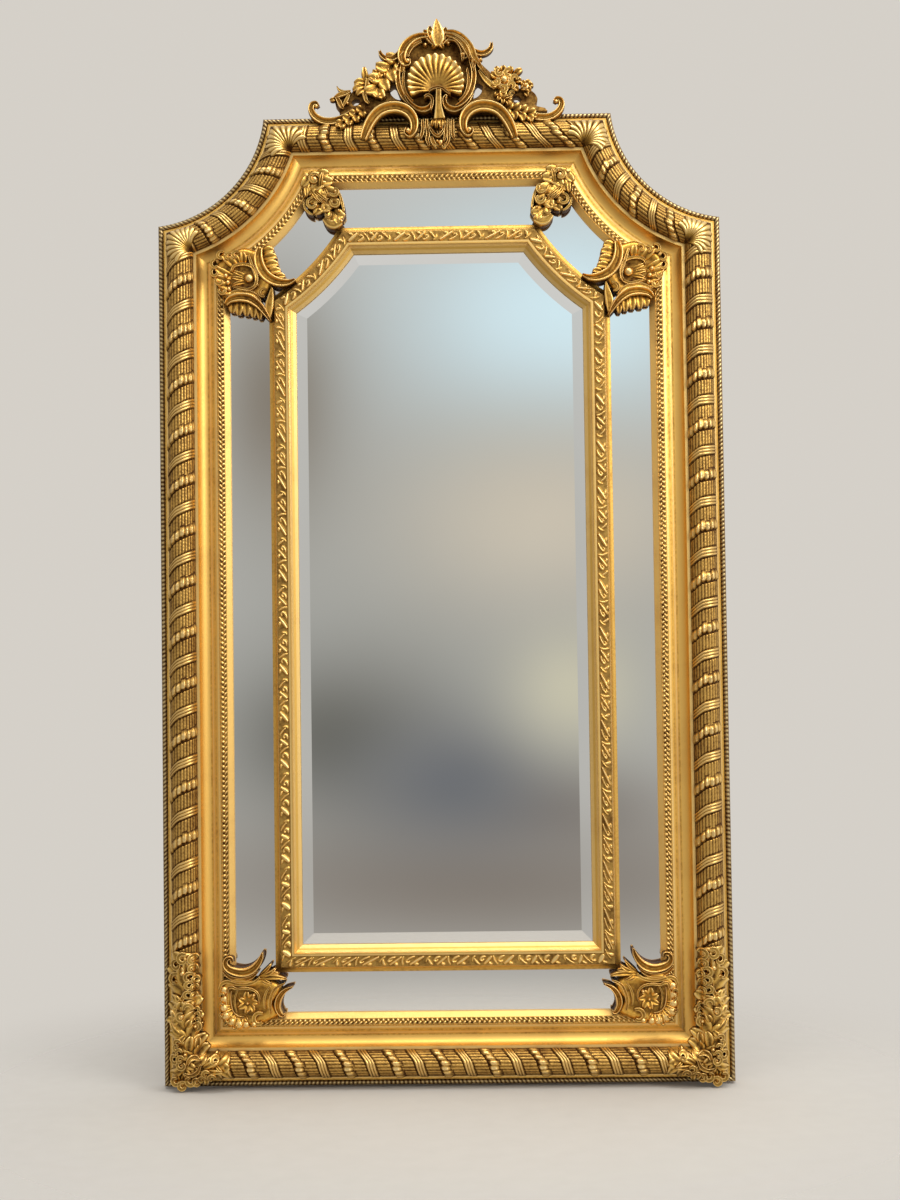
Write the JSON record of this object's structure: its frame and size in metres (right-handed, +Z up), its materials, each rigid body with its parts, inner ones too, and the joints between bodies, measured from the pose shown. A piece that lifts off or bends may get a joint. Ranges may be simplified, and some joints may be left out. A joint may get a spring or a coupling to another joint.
{
  "type": "gilded parclose wall mirror",
  "caption": "Tall gilded wall mirror: bevelled centre glass, mirrored border strips, double moulded frame with scooped upper corners and a pierced shell crest.",
  "frame": {"origin": "on the wall plane at the centre of the back panel, midway up the frame without its crest", "axes": "+Z up, +X to the right seen from the front, +Y into the wall, so the glass faces -Y"},
  "size_m": [1.08, 0.0865, 2.037],
  "materials": {
    "burnished_gilding": "burnished water gilding over gesso, lightly worn",
    "antique_gilding": "gilded composition with a brown patina in the hollows",
    "carved_gilding": "gilded carving, bright on the ridges and dark in the hollows",
    "silvered_glass": "clear silvered plate glass",
    "panel_board": "plain sanded board",
    "bare_wood": "plain sawn wood",
    "zinc_steel": "zinc plated"
  },
  "bodies": {
    "mirror": {"back_battens": "bare_wood", "back_panel": "panel_board", "bead_course": "carved_gilding", "bottom_parclose_mirror": "silvered_glass", "bottom_rail": "burnished_gilding", "bottom_torus": "antique_gilding", "centre_mirror": "silvered_glass", "crest_board": "carved_gilding", "crest_dowels": "bare_wood", "crest_finial": "carved_gilding", "crest_pendant": "carved_gilding", "crest_shell": "carved_gilding", "edge_rope": "antique_gilding", "inner_bottom": "burnished_gilding", "inner_foliage": "carved_gilding", "inner_left": "burnished_gilding", "inner_left_shoulder": "burnished_gilding", "inner_right": "burnished_gilding", "inner_right_shoulder": "burnished_gilding", "inner_top": "burnished_gilding", "left_bottom_cartouche": "carved_gilding", "left_corner_leaf": "antique_gilding", "left_crest_arch": "carved_gilding", "left_crest_flowers": "carved_gilding", "left_crest_horn": "carved_gilding", "left_crest_rim": "carved_gilding", "left_hanger_strap": "zinc_steel", "left_lower_shell": "antique_gilding", "left_parclose_mirror": "silvered_glass", "left_shoulder_cartouche": "carved_gilding", "left_shoulder_parclose_mirror": "silvered_glass", "left_shoulder_rail": "burnished_gilding", "left_shoulder_torus": "antique_gilding", "left_stile": "burnished_gilding", "left_top_leaf": "carved_gilding", "left_torus": "antique_gilding", "left_upper_shell": "antique_gilding", "right_bottom_cartouche": "carved_gilding", "right_corner_leaf": "antique_gilding", "right_crest_arch": "carved_gilding", "right_crest_flowers": "carved_gilding", "right_crest_horn": "carved_gilding", "right_crest_rim": "carved_gilding", "right_hanger_strap": "zinc_steel", "right_lower_shell": "antique_gilding", "right_parclose_mirror": "silvered_glass", "right_shoulder_cartouche": "carved_gilding", "right_shoulder_parclose_mirror": "silvered_glass", "right_shoulder_rail": "burnished_gilding", "right_shoulder_torus": "antique_gilding", "right_stile": "burnished_gilding", "right_top_leaf": "carved_gilding", "right_torus": "antique_gilding", "right_upper_shell": "antique_gilding", "screws": "zinc_steel", "top_parclose_mirror": "silvered_glass", "top_rail": "burnished_gilding", "top_torus": "antique_gilding"},
    "left_ring": {"left_hanger_ring": "zinc_steel"},
    "right_ring": {"right_hanger_ring": "zinc_steel"}
  },
  "joints": [
    {"name": "left_ring_swing", "type": "hinge", "parent": "mirror", "child": "left_ring", "pos_m": [-0.4865, -0.00945, 0.52], "axis": [1, 0, 0], "range_deg": [0, 180]},
    {"name": "right_ring_swing", "type": "hinge", "parent": "mirror", "child": "right_ring", "pos_m": [0.4865, -0.00945, 0.52], "axis": [1, 0, 0], "range_deg": [0, 180]}
  ]
}
